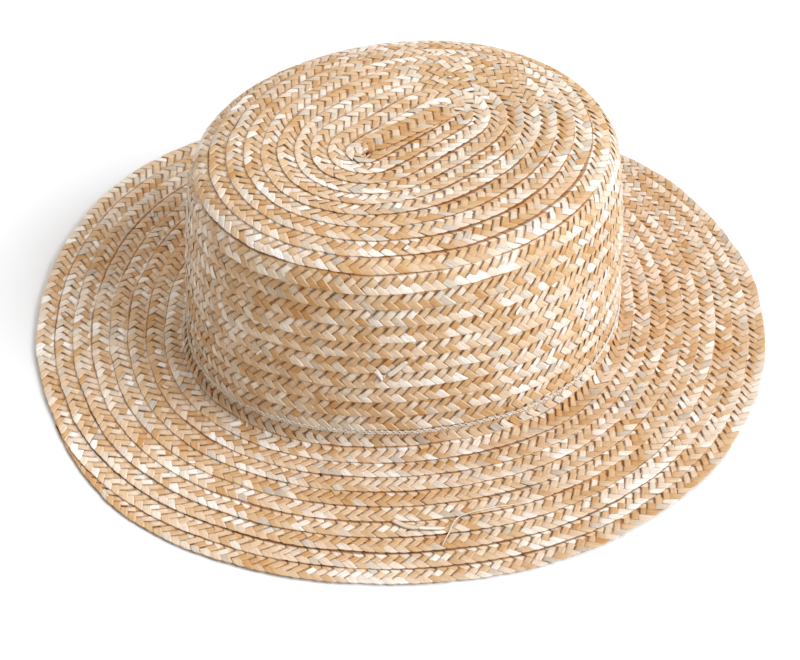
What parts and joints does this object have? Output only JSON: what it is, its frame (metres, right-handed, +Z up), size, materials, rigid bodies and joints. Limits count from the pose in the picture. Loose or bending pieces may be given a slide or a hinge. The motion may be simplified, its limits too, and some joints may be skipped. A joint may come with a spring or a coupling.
{
  "type": "flat-topped straw hat",
  "caption": "Boater-style straw hat: flat-topped oval crown and wide, nearly flat brim, sewn in overlapping rows from one straw plait, with a cloth sweatband inside.",
  "frame": {"origin": "middle of the brim's outline on the plane that the hat rests on, which is the underside of the brim's edge", "axes": "+Z up through the crown, +Y towards the front of the head along the long axis of the oval, +X to the wearer's right"},
  "size_m": [0.3078, 0.3166, 0.0935],
  "materials": {
    "straw_tip": "satin natural wheat straw",
    "straw_side": "satin natural wheat straw",
    "straw_brim": "satin natural wheat straw",
    "straw_edge": "satin natural wheat straw",
    "sewing_thread": "matt cotton thread",
    "sweatband_cloth": "matt cotton twill tape",
    "band_thread": "matt cotton thread"
  },
  "bodies": {
    "root": {"crown_tip_plait": "straw_tip", "crown_side_plait": "straw_side", "brim_plait": "straw_brim", "brim_edge_plait": "straw_edge", "plait_end_tail": "straw_edge", "plait_start_tail": "straw_tip", "tip_thread": "sewing_thread", "side_thread": "sewing_thread", "brim_thread": "sewing_thread", "sweatband": "sweatband_cloth", "sweatband_lap": "sweatband_cloth", "sweatband_thread": "band_thread"}
  },
  "joints": []
}
